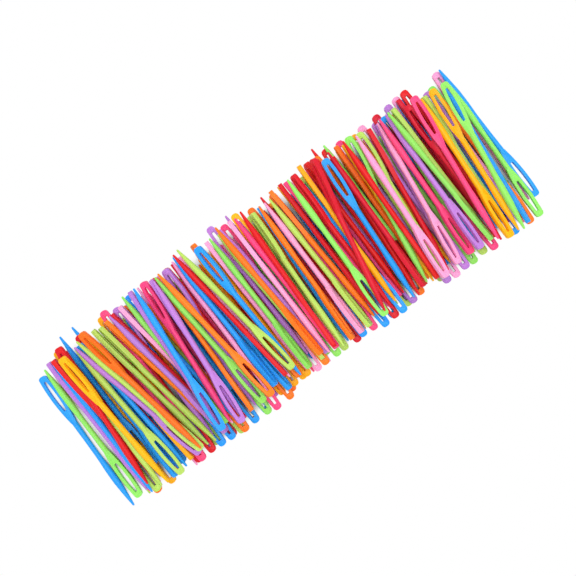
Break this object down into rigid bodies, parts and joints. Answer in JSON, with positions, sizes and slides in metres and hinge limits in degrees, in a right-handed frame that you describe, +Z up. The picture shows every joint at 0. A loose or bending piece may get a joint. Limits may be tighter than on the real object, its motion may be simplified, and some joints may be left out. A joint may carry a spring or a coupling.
{
  "type": "yarn needles",
  "caption": "Loose row of blunt plastic yarn needles, heaped side by side, each with a long flat threading eye and a swollen point; the topmost lift off",
  "frame": {"origin": "middle of the heap's outline, on the surface it lies on", "axes": "+X along the row of needles, +Y along the needles towards the end that the picture shows upper left, +Z up"},
  "size_m": [0.227, 0.087, 0.0249],
  "materials": {
    "blue": "satin moulded sky blue plastic, slightly translucent",
    "lime": "satin moulded bright lime plastic, slightly translucent",
    "green": "satin moulded yellow green plastic, slightly translucent",
    "red": "satin moulded red plastic, slightly translucent",
    "pink": "satin moulded hot pink plastic, slightly translucent",
    "rose": "satin moulded pale pink plastic, slightly translucent",
    "purple": "satin moulded lavender purple plastic, slightly translucent",
    "orange": "satin moulded orange plastic, slightly translucent",
    "yellow": "satin moulded amber yellow plastic, slightly translucent"
  },
  "bodies": {
    "heap": {"blue_needle_51": "blue", "purple_needle_03": "purple", "red_needle_04": "red", "green_needle_10": "green", "orange_needle_12": "orange", "purple_needle_13": "purple", "rose_needle_14": "rose", "pink_needle_16": "pink", "blue_needle_20": "blue", "rose_needle_21": "rose", "orange_needle_23": "orange", "blue_needle_24": "blue", "rose_needle_25": "rose", "green_needle_27": "green", "purple_needle_28": "purple", "pink_needle_30": "pink", "blue_needle_32": "blue", "rose_needle_33": "rose", "orange_needle_35": "orange", "lime_needle_40": "lime", "red_needle_39": "red", "purple_needle_44": "purple", "green_needle_06": "green", "purple_needle_07": "purple", "green_needle_08": "green", "lime_needle_18": "lime", "lime_needle_36": "lime", "green_needle_42": "green", "pink_needle_45": "pink", "purple_needle_46": "purple", "lime_needle_47": "lime", "yellow_needle_49": "yellow", "lower_blue_needles": "blue", "lower_lime_needles": "lime", "lower_green_needles": "green", "lower_red_needles": "red", "lower_pink_needles": "pink", "lower_rose_needles": "rose", "lower_purple_needles": "purple", "lower_orange_needles": "orange", "lower_yellow_needles": "yellow"},
    "loose_blue_needle_01": {"blue_needle_01": "blue"},
    "loose_lime_needle_02": {"lime_needle_02": "lime"},
    "loose_green_needle_11": {"green_needle_11": "green"},
    "loose_purple_needle_17": {"purple_needle_17": "purple"},
    "loose_lime_needle_26": {"lime_needle_26": "lime"},
    "loose_orange_needle_29": {"orange_needle_29": "orange"},
    "loose_green_needle_31": {"green_needle_31": "green"},
    "loose_green_needle_34": {"green_needle_34": "green"},
    "loose_red_needle_43": {"red_needle_43": "red"},
    "loose_yellow_needle_05": {"yellow_needle_05": "yellow"},
    "loose_orange_needle_09": {"orange_needle_09": "orange"},
    "loose_blue_needle_15": {"blue_needle_15": "blue"},
    "loose_orange_needle_19": {"orange_needle_19": "orange"},
    "loose_green_needle_22": {"green_needle_22": "green"},
    "loose_red_needle_37": {"red_needle_37": "red"},
    "loose_blue_needle_38": {"blue_needle_38": "blue"},
    "loose_rose_needle_41": {"rose_needle_41": "rose"},
    "loose_pink_needle_48": {"pink_needle_48": "pink"},
    "loose_lime_needle_50": {"lime_needle_50": "lime"}
  },
  "joints": [
    {"name": "lift_blue_needle_01", "type": "slide", "parent": "heap", "child": "loose_blue_needle_01", "axis": [0, 0, 1], "range_m": [0, 0.04]},
    {"name": "lift_lime_needle_02", "type": "slide", "parent": "heap", "child": "loose_lime_needle_02", "axis": [0, 0, 1], "range_m": [0, 0.04]},
    {"name": "lift_green_needle_11", "type": "slide", "parent": "heap", "child": "loose_green_needle_11", "axis": [0, 0, 1], "range_m": [0, 0.04]},
    {"name": "lift_purple_needle_17", "type": "slide", "parent": "heap", "child": "loose_purple_needle_17", "axis": [0, 0, 1], "range_m": [0, 0.04]},
    {"name": "lift_lime_needle_26", "type": "slide", "parent": "heap", "child": "loose_lime_needle_26", "axis": [0, 0, 1], "range_m": [0, 0.04]},
    {"name": "lift_orange_needle_29", "type": "slide", "parent": "heap", "child": "loose_orange_needle_29", "axis": [0, 0, 1], "range_m": [0, 0.04]},
    {"name": "lift_green_needle_31", "type": "slide", "parent": "heap", "child": "loose_green_needle_31", "axis": [0, 0, 1], "range_m": [0, 0.04]},
    {"name": "lift_green_needle_34", "type": "slide", "parent": "heap", "child": "loose_green_needle_34", "axis": [0, 0, 1], "range_m": [0, 0.04]},
    {"name": "lift_red_needle_43", "type": "slide", "parent": "heap", "child": "loose_red_needle_43", "axis": [0, 0, 1], "range_m": [0, 0.04]},
    {"name": "lift_yellow_needle_05", "type": "slide", "parent": "heap", "child": "loose_yellow_needle_05", "axis": [0, 0, 1], "range_m": [0, 0.04]},
    {"name": "lift_orange_needle_09", "type": "slide", "parent": "heap", "child": "loose_orange_needle_09", "axis": [0, 0, 1], "range_m": [0, 0.04]},
    {"name": "lift_blue_needle_15", "type": "slide", "parent": "heap", "child": "loose_blue_needle_15", "axis": [0, 0, 1], "range_m": [0, 0.04]},
    {"name": "lift_orange_needle_19", "type": "slide", "parent": "heap", "child": "loose_orange_needle_19", "axis": [0, 0, 1], "range_m": [0, 0.04]},
    {"name": "lift_green_needle_22", "type": "slide", "parent": "heap", "child": "loose_green_needle_22", "axis": [0, 0, 1], "range_m": [0, 0.04]},
    {"name": "lift_red_needle_37", "type": "slide", "parent": "heap", "child": "loose_red_needle_37", "axis": [0, 0, 1], "range_m": [0, 0.04]},
    {"name": "lift_blue_needle_38", "type": "slide", "parent": "heap", "child": "loose_blue_needle_38", "axis": [0, 0, 1], "range_m": [0, 0.04]},
    {"name": "lift_rose_needle_41", "type": "slide", "parent": "heap", "child": "loose_rose_needle_41", "axis": [0, 0, 1], "range_m": [0, 0.04]},
    {"name": "lift_pink_needle_48", "type": "slide", "parent": "heap", "child": "loose_pink_needle_48", "axis": [0, 0, 1], "range_m": [0, 0.04]},
    {"name": "lift_lime_needle_50", "type": "slide", "parent": "heap", "child": "loose_lime_needle_50", "axis": [0, 0, 1], "range_m": [0, 0.04]}
  ]
}
